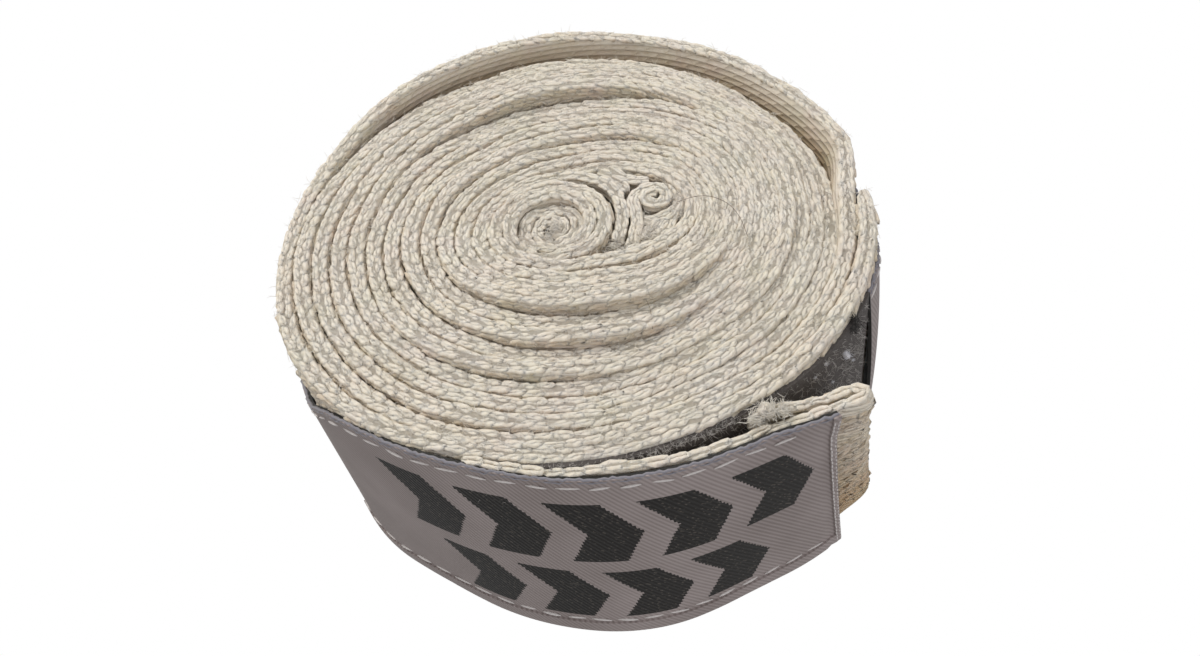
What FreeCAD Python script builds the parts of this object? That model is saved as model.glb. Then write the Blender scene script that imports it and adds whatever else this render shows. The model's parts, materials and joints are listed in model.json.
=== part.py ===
import FreeCAD, Part
import math
import os

# Rolled boxing hand wrap, standing on the floor with its roll axis along +Z.
# Millimetres.  The band winds counterclockwise, seen from above, from its centre outward.
# The closing strap is sewn on the band's outer end and runs once round the roll.

# ---- driving dimensions ----
BAND_WIDTH = 50.0          # width of the woven band, so the height of the roll
BAND_THICK = 2.0           # thickness of the elastic knitted band
COIL_TURNS = 3.5           # small tight coil in the middle
COIL_START = 1.7           # radius of the band's centre line where it starts
COIL_PITCH = 2.3
COIL_X, COIL_Y = -2.9, -3.0
WIDE_TURNS = 12.472        # turns laid round the coil and the thumb loop
WIDE_X, WIDE_Y = 3.55, -3.0
FIRST_HALF_LONG = 15.95    # half length of the first wide turn, left to right
FIRST_HALF_SHORT = 12.4    # half width of the first wide turn, front to back
LAP_START_RADIUS = 45.3    # centre line where the last lap starts, under the band's outer end
LAP_RISE = 2.9             # past that end the last lap swells out to fill the strap
LAP_DIP = 0.65             # and is pressed in again where the felt and the strap's tip lie
LAP_RISE_TURNS = 0.09
DIP_FROM, DIP_TO = 0.66, 0.72

FELT_THICK = 0.9
FELT_FROM, FELT_TO = 246.0, 321.0
FELT_LOW, FELT_HIGH = 1.6, 48.4

STRAP_LOW, STRAP_HIGH = 1.0, 49.0
STRAP_INSIDE = 49.75       # inner face of the hook tape
HOOK_THICK = 0.8
LABEL_THICK = 0.45
ROOT_FROM, ROOT_TO = 324.0, 350.0
SEGMENTS = 4               # lengths of strap between the root and the tip
SEGMENT_TURN = 65.0        # degrees of wrap for each of them
GAP = 0.3                  # slit between two lengths, where the strap folds
SEAM = 0.06                # room between two sewn layers
END_SLANT = 6.0            # the strap's ends are cut slanting, longer at the bottom

TIP_RADIUS = 72.7          # the tip stands off the roll on a flatter curve
TIP_LAST = 289.2           # direction of its end, seen from the tip's own centre

STITCH_LENGTH = 3.0
STITCH_PITCH = 4.4
STITCH_PROUD = 0.25
STITCH_TALL = 0.7
STITCH_INSET = 2.0

TAB_THICK = 1.5
TAB_LOW, TAB_HIGH = 2.0, 48.2

LOOP_THICK = 1.8
LOOP_RADIUS = 2.9
LOOP_X, LOOP_Y = 14.3, -0.4
LOOP_LEG_X = 10.0
LOOP_LOW, LOOP_HIGH = 22.0, 49.6

STRAP_OUTSIDE = STRAP_INSIDE + HOOK_THICK + LABEL_THICK
OUT = "parts"


def smooth(t):
    t = max(0.0, min(1.0, t))
    return t * t * (3.0 - 2.0 * t)


def mix(a, b, t):
    return a + (b - a) * t


def band_point(turns):
    """Centre line of the band after a number of turns from its inner end."""
    angle = 2.0 * math.pi * turns
    coil = COIL_START + COIL_PITCH * turns
    j = max(0.0, turns - COIL_TURNS)
    lap = max(0.0, j - (WIDE_TURNS - 1.0))
    share = (j - lap) / (WIDE_TURNS - 1.0)
    wide = smooth(j / 0.5)
    swell = LAP_RISE * smooth(lap / LAP_RISE_TURNS)
    swell -= LAP_DIP * smooth((lap - DIP_FROM) / (DIP_TO - DIP_FROM))
    half_long = mix(FIRST_HALF_LONG, LAP_START_RADIUS, share) + swell
    half_short = mix(FIRST_HALF_SHORT, LAP_START_RADIUS, share) + swell
    cx = mix(COIL_X, WIDE_X * (1.0 - share), wide)
    cy = mix(COIL_Y, WIDE_Y * (1.0 - share), wide)
    x = cx + mix(coil, half_long, wide) * math.cos(angle)
    y = cy + mix(coil, half_short, wide) * math.sin(angle)
    return x, y


def offset_point(curve, t, step, side):
    """Point beside a curve and the curve's direction there; side is positive outward."""
    ax, ay = curve(t - step)
    bx, by = curve(t + step)
    dx, dy = bx - ax, by - ay
    length = math.hypot(dx, dy)
    dx, dy = dx / length, dy / length
    x, y = curve(t)
    return (x + dy * side, y - dx * side), (dx, dy)


def spline(curve, start, end, pieces, side, z, step):
    """Smooth edges that run beside a curve, joined without corners."""
    edges = []
    for i in range(pieces):
        a = start + (end - start) * i / pieces
        b = start + (end - start) * (i + 1) / pieces
        points = []
        tangents = []
        for k in range(9):
            (x, y), d = offset_point(curve, a + (b - a) * k / 8.0, step, side)
            points.append(FreeCAD.Vector(x, y, z))
            tangents.append(FreeCAD.Vector(d[0], d[1], 0.0))
        line = Part.BSplineCurve()
        line.interpolate(Points=points, InitialTangent=tangents[0], FinalTangent=tangents[-1])
        edges.append(line.toShape())
    return edges


def ribbon(curve, start, end, pieces, inner, outer, low, high, step=1e-4):
    """A strip standing on edge: from inner to outer beside a curve, low to high in Z."""
    left = spline(curve, start, end, pieces, inner, low, step)
    right = spline(curve, start, end, pieces, outer, low, step)
    cap_a = Part.makeLine(left[0].Vertexes[0].Point, right[0].Vertexes[0].Point)
    cap_b = Part.makeLine(right[-1].Vertexes[-1].Point, left[-1].Vertexes[-1].Point)
    wire = Part.Wire(Part.__sortEdges__([cap_a] + right + [cap_b] + left))
    return Part.Face(wire).extrude(FreeCAD.Vector(0, 0, high - low))


def arc_strip(cx, cy, inner, outer, start, end, low, high):
    """Part of a ring about a vertical axis, start and end in degrees."""
    def at(r, deg):
        a = math.radians(deg)
        return FreeCAD.Vector(cx + r * math.cos(a), cy + r * math.sin(a), low)
    mid = (start + end) / 2.0
    edges = [
        Part.Arc(at(outer, start), at(outer, mid), at(outer, end)).toShape(),
        Part.makeLine(at(outer, end), at(inner, end)),
        Part.Arc(at(inner, end), at(inner, mid), at(inner, start)).toShape(),
        Part.makeLine(at(inner, start), at(outer, start)),
    ]
    return Part.Face(Part.Wire(edges)).extrude(FreeCAD.Vector(0, 0, high - low))


def stitch_rows(cx, cy, radius, start, end):
    """Two rows of running stitches, one near each edge of the strap."""
    step = math.degrees(STITCH_PITCH / radius)
    length = math.degrees(STITCH_LENGTH / radius)
    count = int((end - start - 0.6) / step)
    spare = (end - start - count * step + step - length) / 2.0
    stitches = []
    for row in (STRAP_LOW + STITCH_INSET, STRAP_HIGH - STITCH_INSET):
        for i in range(count):
            a = start + spare + i * step
            stitches.append(arc_strip(cx, cy, radius, radius + STITCH_PROUD, a, a + length,
                                      row - STITCH_TALL / 2.0, row + STITCH_TALL / 2.0))
    return Part.makeCompound(stitches)


def slant_cutter(x, y, heading, lean):
    """Block that removes what lies past a slanting line; its low end is lean further on."""
    a = math.radians(heading)
    along = FreeCAD.Vector(math.cos(a), math.sin(a), 0)
    across = FreeCAD.Vector(math.sin(a), -math.cos(a), 0)
    top = FreeCAD.Vector(x, y, STRAP_HIGH) - across * 12
    low = FreeCAD.Vector(x, y, STRAP_LOW) + along * lean - across * 12
    rise = (top - low) * (4.0 / (STRAP_HIGH - STRAP_LOW))
    top = top + rise
    low = low - rise
    wire = Part.makePolygon([low, low + along * 30, top + along * 30, top, low])
    return Part.Face(wire).extrude(across * 24)


def save(name, shape):
    shape.exportStep(os.path.join(OUT, name + ".step"))
    box = shape.BoundBox
    print(name, "solids", len(shape.Solids), "valid", shape.isValid(), "volume", round(shape.Volume, 1),
          "box", [round(v, 2) for v in (box.XMin, box.YMin, box.ZMin, box.XMax, box.YMax, box.ZMax)])


os.makedirs(OUT, exist_ok=True)

# ---- the band and what is sewn on it ----
band_end = COIL_TURNS + WIDE_TURNS
half = BAND_THICK / 2.0
band = ribbon(band_point, 0.0, band_end, 64, -half, half, 0.0, BAND_WIDTH)
save("knitted_band", band)

last_lap = math.floor(band_end)


def last_turn(deg):
    """Turns from the inner end for a direction on the outermost lap."""
    return last_lap + deg / 360.0


felt = ribbon(band_point, last_turn(FELT_FROM), last_turn(FELT_TO), 8, half + 3.0 * SEAM, half + FELT_THICK,
              FELT_LOW, FELT_HIGH)
save("loop_tape", felt)

felt_side = half + FELT_THICK + 0.02
rows = []
for z in (FELT_LOW + 1.6, FELT_HIGH - 1.6):
    for i in range(14):
        a = last_turn(FELT_FROM + 2.0 + 5.2 * i)
        b = last_turn(FELT_FROM + 2.0 + 5.2 * i + 3.4)
        rows.append(ribbon(band_point, a, b, 1, felt_side, felt_side + 0.12, z - 0.3, z + 0.3))
save("loop_tape_stitching", Part.makeCompound(rows))

# ---- thumb loop: a narrow strip sewn inside the first wide turn, curled over at its end ----


def loop_point(t):
    """Centre line of the thumb loop, from its sewn foot up the leg and round the curl."""
    leg_top = LOOP_Y + 1.2
    leg = leg_top + 14.5
    bend = LOOP_X - LOOP_RADIUS - LOOP_LEG_X
    if t < leg:
        return LOOP_LEG_X + bend * smooth((t - leg + 6.0) / 6.0), leg_top - leg + t
    a = math.pi - (t - leg) / LOOP_RADIUS
    return LOOP_X + LOOP_RADIUS * math.cos(a), leg_top + LOOP_RADIUS * math.sin(a)


loop_length = (LOOP_Y + 1.2 + 14.5) + LOOP_RADIUS * math.radians(305.0)
loop = ribbon(loop_point, 0.01, loop_length, 8, -LOOP_THICK / 2.0, LOOP_THICK / 2.0,
              LOOP_LOW, LOOP_HIGH, 0.05)
nearby = ribbon(band_point, 3.6, 4.1, 3, -half - SEAM, half, 0.0, BAND_WIDTH)
pieces = loop.cut(nearby).Solids
loop = max(pieces, key=lambda solid: solid.Volume)
save("thumb_loop", loop)

tack = Part.makeBox(1.3, 4.2, 9.0, FreeCAD.Vector(LOOP_LEG_X - LOOP_THICK / 2.0 - 1.3, -15.6, LOOP_HIGH - 11.0))
tack = max(tack.cut(nearby).cut(loop).Solids, key=lambda solid: solid.BoundBox.YMax)
save("thumb_loop_bartack", tack)

# ---- root of the strap, sewn over the band's outer end ----
hem_edge = STRAP_INSIDE + HOOK_THICK
slit = math.degrees(GAP / STRAP_OUTSIDE) / 2.0
root_end = ROOT_TO - slit
ring = arc_strip(0, 0, 40.0, hem_edge, ROOT_FROM, root_end, STRAP_LOW, STRAP_HIGH)
inside = ribbon(band_point, last_turn(ROOT_FROM - 4.0), last_turn(ROOT_TO) - 1e-6, 8, -9.0, half + 4.0 * SEAM,
                STRAP_LOW - 1.0, STRAP_HIGH + 1.0)
under = arc_strip(0, 0, 30.0, 41.5, ROOT_FROM - 3.0, ROOT_TO + 3.0, STRAP_LOW - 1.0, STRAP_HIGH + 1.0)
hem = max(ring.cut(inside).cut(under).Solids, key=lambda solid: solid.Volume)
save("root_hem", hem)

root_label = arc_strip(0, 0, hem_edge, STRAP_OUTSIDE, ROOT_FROM, root_end, STRAP_LOW, STRAP_HIGH)
save("root_label", root_label)
save("root_stitching", stitch_rows(0, 0, STRAP_OUTSIDE, ROOT_FROM + 1.0, ROOT_TO - 0.5))

# ---- the strap, in lengths hinged to one another on its outer face ----
for n in range(1, SEGMENTS + 1):
    a = ROOT_TO + SEGMENT_TURN * (n - 1) + slit
    b = ROOT_TO + SEGMENT_TURN * n - slit
    save("hook_tape_%d" % n, arc_strip(0, 0, STRAP_INSIDE, hem_edge, a, b, STRAP_LOW, STRAP_HIGH))
    save("label_%d" % n, arc_strip(0, 0, hem_edge, STRAP_OUTSIDE, a, b, STRAP_LOW, STRAP_HIGH))
    save("label_stitching_%d" % n, stitch_rows(0, 0, STRAP_OUTSIDE, a, b))

# ---- the strap's tip, on a flatter curve that starts in line with the last length ----
tip_from = ROOT_TO + SEGMENT_TURN * SEGMENTS - 360.0
away = math.radians(tip_from)
tip_x = (STRAP_OUTSIDE - TIP_RADIUS) * math.cos(away)
tip_y = (STRAP_OUTSIDE - TIP_RADIUS) * math.sin(away)
tip_start = tip_from + slit
tip_end = TIP_LAST + 9.0
last = math.radians(TIP_LAST)
end_x = tip_x + TIP_RADIUS * math.cos(last)
end_y = tip_y + TIP_RADIUS * math.sin(last)
print("tip centre", round(tip_x, 2), round(tip_y, 2), "end", round(end_x, 2), round(end_y, 2))
cutter = slant_cutter(end_x, end_y, TIP_LAST + 90.0, END_SLANT)
tape_edge = TIP_RADIUS - LABEL_THICK
tip_tape = arc_strip(tip_x, tip_y, tape_edge - HOOK_THICK, tape_edge, tip_start, tip_end, STRAP_LOW, STRAP_HIGH)
tip_label = arc_strip(tip_x, tip_y, tape_edge, TIP_RADIUS, tip_start, tip_end, STRAP_LOW, STRAP_HIGH)
save("hook_tape_tip", tip_tape.cut(cutter).Solids[0])
save("label_tip", tip_label.cut(cutter).Solids[0])
save("label_tip_stitching", stitch_rows(tip_x, tip_y, TIP_RADIUS, tip_start, TIP_LAST - 1.0))

# ---- pull tab: a folded length of band sewn behind the tip ----
tab_radius = TIP_RADIUS - LABEL_THICK - HOOK_THICK - 0.02 - TAB_THICK / 2.0
tab_line = []
for deg in (268.0, 272.0, 276.0, 280.0, 285.0, 290.0):
    a = math.radians(deg)
    tab_line.append((tip_x + tab_radius * math.cos(a), tip_y + tab_radius * math.sin(a)))
FOLD_X, FOLD_Y, FOLD_R = 34.6, -43.4, 1.35
for deg in (-60.0, -20.0, 20.0, 60.0, 95.0):
    a = math.radians(deg)
    tab_line.append((FOLD_X + FOLD_R * math.cos(a), FOLD_Y + FOLD_R * math.sin(a)))
tab_line.extend([(31.5, -42.9), (28.5, -44.0), (25.4, -45.2)])
guide = Part.BSplineCurve()
guide.interpolate(Points=[FreeCAD.Vector(x, y, 0) for x, y in tab_line])
first, final = guide.FirstParameter, guide.LastParameter


def tab_point(t):
    p = guide.value(mix(first, final, max(0.0, min(1.0, t))))
    return p.x, p.y


tab = ribbon(tab_point, 0.0, 1.0, 8, -TAB_THICK / 2.0, TAB_THICK / 2.0, TAB_LOW, TAB_HIGH, 1e-3)
backing = arc_strip(tip_x, tip_y, tape_edge - HOOK_THICK - SEAM, tape_edge, tip_start, tip_end + 2.0,
                    STRAP_LOW - 1.0, STRAP_HIGH + 1.0)
tab = max(tab.cut(backing).Solids, key=lambda solid: solid.Volume)
save("pull_tab", tab)

bars = []
for row in range(9):
    z = 5.0 + 5.0 * row
    bars.append(arc_strip(tip_x, tip_y, TIP_RADIUS, TIP_RADIUS + STITCH_PROUD, TIP_LAST - 1.3, TIP_LAST - 0.75,
                          z - 1.5, z + 1.5))
save("pull_tab_stitching", Part.makeCompound(bars))
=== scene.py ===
# Rolled boxing hand wrap: knitted cotton band, felt, hook tape, woven label, pull tab.
import json
import math
import bpy
import numpy as np
from mathutils import Euler, Matrix, Vector

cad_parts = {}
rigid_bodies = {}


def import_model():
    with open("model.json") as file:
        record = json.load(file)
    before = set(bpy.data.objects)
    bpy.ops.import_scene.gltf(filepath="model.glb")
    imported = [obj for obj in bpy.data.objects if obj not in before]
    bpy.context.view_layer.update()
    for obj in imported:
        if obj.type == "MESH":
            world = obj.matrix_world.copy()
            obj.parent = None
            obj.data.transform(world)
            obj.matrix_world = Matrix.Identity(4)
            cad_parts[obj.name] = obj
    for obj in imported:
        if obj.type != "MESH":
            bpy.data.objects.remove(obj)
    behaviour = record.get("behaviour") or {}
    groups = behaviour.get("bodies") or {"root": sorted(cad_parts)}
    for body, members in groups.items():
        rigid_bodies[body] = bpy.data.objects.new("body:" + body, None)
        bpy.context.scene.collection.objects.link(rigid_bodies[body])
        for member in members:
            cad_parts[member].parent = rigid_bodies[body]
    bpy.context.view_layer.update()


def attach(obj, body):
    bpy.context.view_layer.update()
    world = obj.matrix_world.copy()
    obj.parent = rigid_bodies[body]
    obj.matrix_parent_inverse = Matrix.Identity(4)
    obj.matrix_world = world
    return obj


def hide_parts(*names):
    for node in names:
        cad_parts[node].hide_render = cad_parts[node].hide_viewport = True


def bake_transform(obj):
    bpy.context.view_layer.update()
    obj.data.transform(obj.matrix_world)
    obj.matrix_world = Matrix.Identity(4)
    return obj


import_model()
MM = 0.001
rng = np.random.default_rng(11)

# ----- sizes, millimetres
COIL_TURNS, COIL_START, COIL_PITCH = 3.5, 1.7, 2.3
COIL_X, COIL_Y = -2.9, -3.0
WIDE_TURNS, WIDE_X, WIDE_Y = 12.472, 3.55, -3.0
FIRST_HALF_LONG, FIRST_HALF_SHORT = 15.95, 12.4
LAP_START_RADIUS, LAP_RISE, LAP_DIP, LAP_RISE_TURNS = 45.3, 2.9, 0.65, 0.05
DIP_FROM, DIP_TO = 0.66, 0.72
BAND_TURNS = COIL_TURNS + WIDE_TURNS
BAND_TOP = 49.2
BAND_HALF = 1.12
STITCH = 4.4
KNIT_ROW = 1.0
PLY_TWIST = 0.9


def smooth(t):
    t = np.clip(t, 0.0, 1.0)
    return t * t * (3.0 - 2.0 * t)


def mix(a, b, t):
    return a + (b - a) * t


# Lobes of height: (turn index, direction in degrees, half width in degrees, millimetres).
FRONT_LIFT = {3: 2.6, 4: 3.2, 5: 3.9, 6: 4.5, 7: 2.1, 8: 2.7, 9: 0.8, 10: 1.3, 12: 0.3, 13: 0.3}
BACK_LIFT = {4: -2.0, 5: -2.1, 6: -2.0, 7: -1.0, 8: -1.4, 9: -1.7, 10: -2.1, 11: 0.4, 12: 0.0,
             13: -0.5, 14: -1.6}
LIFTS = [(k, 257.0, 100.0, a) for k, a in FRONT_LIFT.items()]
LIFTS += [(k, 93.0, 85.0, a) for k, a in BACK_LIFT.items()]
LIFTS += [(15, 100.0, 75.0, 1.7), (15, 338.0, 45.0, 1.3)]
LIFTS += [(12, 12.0, 75.0, -0.9), (13, 12.0, 78.0, -1.7), (14, 12.0, 80.0, -3.0)]
# Lobes of radial shift, which open a gap beside one turn and close it beside the next.
SHIFTS = [(6, 185, 80, 0.15), (7, 187, 80, 0.25), (8, 189, 80, 0.4), (9, 191, 80, 0.75), (10, 193, 80, 0.95),
          (11, 196, 85, 1.1), (12, 199, 90, 1.35), (13, 202, 95, 1.65), (14, 205, 100, 1.95),
          (6, 250, 70, -0.1), (7, 262, 70, 0.15), (9, 262, 60, 0.15), (10, 90, 60, -0.15), (11, 90, 60, 0.12),
          (15, 150, 40, -0.5), (15, 207, 42, 1.25), (15, 6, 26, 0.6),
          (15, 328, 45, 1.7), (14, 328, 48, 1.15), (13, 328, 50, 0.7), (12, 328, 50, 0.35)]


def lobes(turns, table):
    total = np.zeros_like(turns)
    for k, deg, half, amount in table:
        t = (turns - k - deg / 360.0) / (half / 360.0)
        total += amount * np.where(np.abs(t) < 1.0, np.cos(t * math.pi / 2.0) ** 2, 0.0)
    return total


def band_line(turns):
    """Centre line of the band in plan and its top height, for an array of turns."""
    turns = np.asarray(turns, float)
    angle = 2.0 * math.pi * turns
    coil = COIL_START + COIL_PITCH * turns
    j = np.maximum(0.0, turns - COIL_TURNS)
    lap = np.maximum(0.0, j - (WIDE_TURNS - 1.0))
    share = (j - lap) / (WIDE_TURNS - 1.0)
    wide = smooth(j / 0.5)
    swell = LAP_RISE * smooth(lap / LAP_RISE_TURNS)
    swell = swell - LAP_DIP * smooth((lap - DIP_FROM) / (DIP_TO - DIP_FROM))
    push = swell + lobes(turns, SHIFTS)
    push = push + 0.12 * np.sin(turns * 31.0) * np.sin(turns * 7.3) * np.clip(turns, 0, 1)
    x = mix(COIL_X, WIDE_X * (1.0 - share), wide) + (
        mix(coil, mix(FIRST_HALF_LONG, LAP_START_RADIUS, share), wide) + push) * np.cos(angle)
    y = mix(COIL_Y, WIDE_Y * (1.0 - share), wide) + (
        mix(coil, mix(FIRST_HALF_SHORT, LAP_START_RADIUS, share), wide) + push) * np.sin(angle)
    top = BAND_TOP + lobes(turns, LIFTS)
    top = top + 0.22 * np.sin(turns * 23.0 + 1.0) + 0.15 * np.sin(turns * 57.0)
    top = top + 0.9 * (1.0 - smooth((turns - 2.9) / 1.0)) - 1.5 * (1.0 - smooth((turns - 1.2) / 0.8))
    return x, y, top


# The roll spreads towards its foot: (direction in degrees, millimetres at the foot).
SPREAD = ((-40, 2.3), (-22, 2.0), (-8, 0.9), (20, 0.6), (60, 0.4), (135, 0.0), (190, 0.6), (226, 0.0),
          (243, 0.6), (256, 1.4), (266, 1.7), (290, 1.7), (302, 2.4), (312, 2.3), (320, 2.3))


def spread_out(x, y, z):
    """Moves points outward the lower they lie and the further out they are."""
    deg = np.degrees(np.arctan2(y, x))
    deg = np.where(deg < -40.0, deg + 360.0, deg)
    r = np.hypot(x, y)
    amount = np.interp(deg, [p[0] for p in SPREAD], [p[1] for p in SPREAD])
    amount = amount * np.clip((49.0 - z) / 48.0, 0.0, 1.0) * (r / 49.0) ** 3
    return x * (1.0 + amount / np.maximum(r, 1.0)), y * (1.0 + amount / np.maximum(r, 1.0)), z


def lean_in(x, y, z, turns):
    """The outermost turn leans outward on its right side, so that its inner face shows."""
    far = np.clip((turns - 14.80) / 0.10, 0.0, 1.0) * np.clip((15.34 - turns) / 0.12, 0.0, 1.0)
    back = 1.7 * smooth(far) * np.clip((48.6 - z) / 5.0, 0.0, 1.0)
    r = np.hypot(x, y)
    return x * (1.0 - back / r), y * (1.0 - back / r), z


def band_half(turns):
    """Half thickness: the coil is wound tight, the wide turns lie looser and fuller."""
    return BAND_HALF + 0.24 * smooth((turns - 3.4) / 0.6) + 0.06 * smooth((turns - 14.0) / 0.9)


def run_along(x, y, z=None):
    """Length of a path up to each of its points."""
    if z is None:
        steps = np.hypot(np.diff(x), np.diff(y))
    else:
        steps = np.sqrt(np.diff(x) ** 2 + np.diff(y) ** 2 + np.diff(z) ** 2)
    return np.concatenate([[0.0], np.cumsum(steps)])


def even_out(values, passes):
    """Smooths a path in place and leaves its two ends where they are."""
    for _ in range(passes):
        values[1:-1] = (values[:-2] + 2.0 * values[1:-1] + values[2:]) / 4.0


# ----- small helpers
def wire(tree, node, inputs):
    """Sets or links a node's inputs."""
    for key, value in inputs.items():
        if isinstance(value, bpy.types.NodeSocket):
            tree.links.new(value, node.inputs[key])
        else:
            node.inputs[key].default_value = value


def add(tree, kind, inputs=None, **settings):
    """Adds a node with its settings, and sets or links its inputs."""
    made = tree.nodes.new(kind)
    for key, value in settings.items():
        setattr(made, key, value)
    wire(tree, made, inputs or {})
    return made


def paint(text):
    """sRGB hex to linear red, green, blue, alpha."""
    parts = [int(text[i:i + 2], 16) / 255.0 for i in (1, 3, 5)]
    return [c / 12.92 if c <= 0.04045 else ((c + 0.055) / 1.055) ** 2.4 for c in parts] + [1.0]


def mesh_from(name, points, faces, uv=None, shade=None):
    """Mesh from millimetre points; uv is one pair per point, shade one number per point."""
    made = bpy.data.meshes.new(name)
    made.from_pydata((np.asarray(points, float) * MM).tolist(), [], faces)
    if uv is not None:
        loops = np.empty(len(made.loops), int)
        made.loops.foreach_get("vertex_index", loops)
        layer = made.uv_layers.new(name="UVMap")
        layer.data.foreach_set("uv", np.asarray(uv, float)[loops].ravel())
    values = np.ones(len(points)) if shade is None else np.asarray(shade, float)
    field = made.attributes.new("shade", "FLOAT", "POINT")
    field.data.foreach_set("value", values)
    made.validate()
    made.polygons.foreach_set("use_smooth", [True] * len(made.polygons))
    return made


def put(name, mesh, material):
    """Adds a mesh to the scene as a piece with one material."""
    made = bpy.data.objects.new(name, mesh)
    bpy.context.scene.collection.objects.link(made)
    mesh.name = name
    mesh.materials.clear()
    mesh.materials.append(material)
    return made


def joined(name, meshes, rough=0.0):
    """One mesh out of several, with their points, faces, UV map and shade; rough jostles the points."""
    points, faces, uvs, shades, start = [], [], [], [], 0
    for m in meshes:
        count = len(m.vertices)
        co = np.empty(count * 3)
        m.vertices.foreach_get("co", co)
        points.append(co.reshape(-1, 3) / MM)
        uv = np.zeros((count, 2))
        if m.uv_layers:
            loops = np.empty(len(m.loops), int)
            m.loops.foreach_get("vertex_index", loops)
            flat = np.empty(len(m.loops) * 2)
            m.uv_layers[0].data.foreach_get("uv", flat)
            uv[loops] = flat.reshape(-1, 2)
        uvs.append(uv)
        shade = np.ones(count)
        if "shade" in m.attributes:
            m.attributes["shade"].data.foreach_get("value", shade)
        shades.append(shade)
        faces.extend([[v + start for v in p.vertices] for p in m.polygons])
        start += count
        bpy.data.meshes.remove(m)
    points = np.concatenate(points)
    points = points + rng.normal(0.0, 1.0, points.shape) * rough
    return mesh_from(name, points, faces, np.concatenate(uvs), np.concatenate(shades))


def ring_sweep(name, rings, uvs, shades):
    """Skin over rings of equal length; each ring runs counterclockwise seen along the path."""
    count, around = rings.shape[:2]
    faces = []
    for i in range(count - 1):
        for k in range(around):
            n = (k + 1) % around
            faces.append([i * around + k, i * around + n, (i + 1) * around + n, (i + 1) * around + k])
    faces.append(list(range(around))[::-1])
    faces.append([(count - 1) * around + k for k in range(around)])
    return mesh_from(name, rings.reshape(-1, 3), faces, uvs.reshape(-1, 2), shades.ravel())


def sideways(x, y):
    """Unit vector to the right of a path's direction, which is outward on the roll."""
    dx, dy = np.gradient(x), np.gradient(y)
    size = np.hypot(dx, dy)
    return dy / size, -dx / size


# A band's section: (share of its height, share of its half thickness, millimetres added to the height).
EDGE_LEVELS = ((0.0, 0.5, 0.0), (0.0, 1.0, 0.5), (0.12, 1.0, 0.0), (0.35, 1.0, 0.0), (0.6, 1.0, 0.0),
               (0.8, 1.0, 0.0), (0.9, 1.0, 0.0), (1.0, 1.0, -3.2), (1.0, 1.0, -2.0), (1.0, 0.98, -1.0),
               (1.0, 0.8, -0.35), (1.0, 0.4, -0.05))
INNER_FACE_UV = 70.0


def ribbon(name, x, y, top, low, half, length, bare=None, shade_depth=5.0, place=None, foot=True):
    """A band standing on edge along a path, with rounded edges.  half may vary on the way."""
    nx, ny = sideways(x, y)
    half = np.broadcast_to(half, x.shape)
    low = np.broadcast_to(low, x.shape)
    rings, uvs, shades = [], [], []
    for side in (1.0, -1.0):
        for share, wide, extra in EDGE_LEVELS if side > 0 else EDGE_LEVELS[::-1]:
            z = low + (top - low) * share + extra
            off = half * wide * side
            spot = (x + nx * off, y + ny * off, z)
            rings.append(np.stack(place(*spot) if place else spot, 1))
            uvs.append(np.stack([length, z if side > 0 else z + INNER_FACE_UV], 1))
            # Painted shade: dark holds how light a point is painted. It falls from 1 at the top edge to 0 at
            # shade_depth below it, and with foot likewise up from the lower edge, so the colour turns tan where the
            # turns shut out light; a bare face stays lit.
            dark = np.clip(1.0 - (top - z - 0.6) / shade_depth, 0.0, 1.0)
            if foot:
                dark = np.maximum(dark, np.clip(1.0 - (z - low - 0.6) / shade_depth, 0.0, 1.0))
            if bare is not None and side > 0:
                dark = np.maximum(dark, bare)
            # Painted shade: the top faces, seen between the loops, are painted a little darker.
            if foot and extra > -2.5 and share == 1.0:
                dark = dark * 0.92
            shades.append(dark)
    rings = np.stack(rings, 1)
    return ring_sweep(name, rings, np.stack(uvs, 1), np.stack(shades, 1))


def leaf(length, thick, bulge, arch, rings=6, around=6, flat=1.0):
    """One arm of a knitted loop: a fat curved strand with tapering ends, along +X."""
    t = np.linspace(0.0, 1.0, rings)
    x = (t - 0.5) * length
    arc = 4.0 * t * (1.0 - t)
    r = thick * (0.38 + 0.62 * arc ** 0.7)
    points, uvs, shades = [], [], []
    for i in range(rings):
        for k in range(around):
            a = 2.0 * math.pi * k / around
            points.append([x[i], bulge * arc[i] + r[i] * math.cos(a),
                           arch * arc[i] + r[i] * flat * math.sin(a)])
            uvs.append([x[i], k / around])
            # Painted shade: the strand is painted lighter on top and towards its middle, darker underneath and at its
            # ends.
            shades.append(0.45 + 0.55 * max(0.0, math.sin(a) * 0.6 + 0.4) * (0.4 + 0.6 * arc[i]))
    ring = np.array(points).reshape(rings, around, 3)
    return ring_sweep("leaf", ring, np.array(uvs).reshape(rings, around, 2),
                      np.array(shades).reshape(rings, around))


def link(length, width, thick, rise, rings=14, around=6):
    """One loop of a knitted chain, a teardrop along +X that climbs to its round end."""
    points, uvs, shades = [], [], []
    for i in range(rings):
        t = 2.0 * math.pi * i / rings
        out = -math.cos(t)
        wide = width / 2.0 * (0.70 + 0.30 * out)
        cx, cy = out * length / 2.0, wide * math.sin(t)
        dx, dy = math.sin(t) * length / 2.0, wide * math.cos(t) + 0.15 * width * math.sin(t) ** 2
        size = math.hypot(dx, dy)
        nx, ny = dy / size, -dx / size
        cz = rise * (0.5 * out - 0.35 * out * out)
        r = thick * (0.80 + 0.20 * abs(math.sin(t)))
        for k in range(around):
            a = 2.0 * math.pi * (k + 0.5 * (i % 2)) / around
            points.append([cx + nx * r * math.cos(a), cy + ny * r * math.cos(a), cz + r * math.sin(a)])
            uvs.append([i * length * 0.16, k * 0.5])
            # Painted shade: the loop is painted lighter on top and at its round end, darker underneath.
            shades.append(0.48 + 0.52 * max(0.0, min(1.0, 0.50 + 0.62 * math.sin(a) + 0.25 * out)))
    faces = []
    for i in range(rings):
        j = (i + 1) % rings
        for k in range(around):
            n = (k + 1) % around
            faces.append([i * around + k, j * around + k, j * around + n, i * around + n])
    return mesh_from("link", points, faces, uvs, shades)


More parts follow.
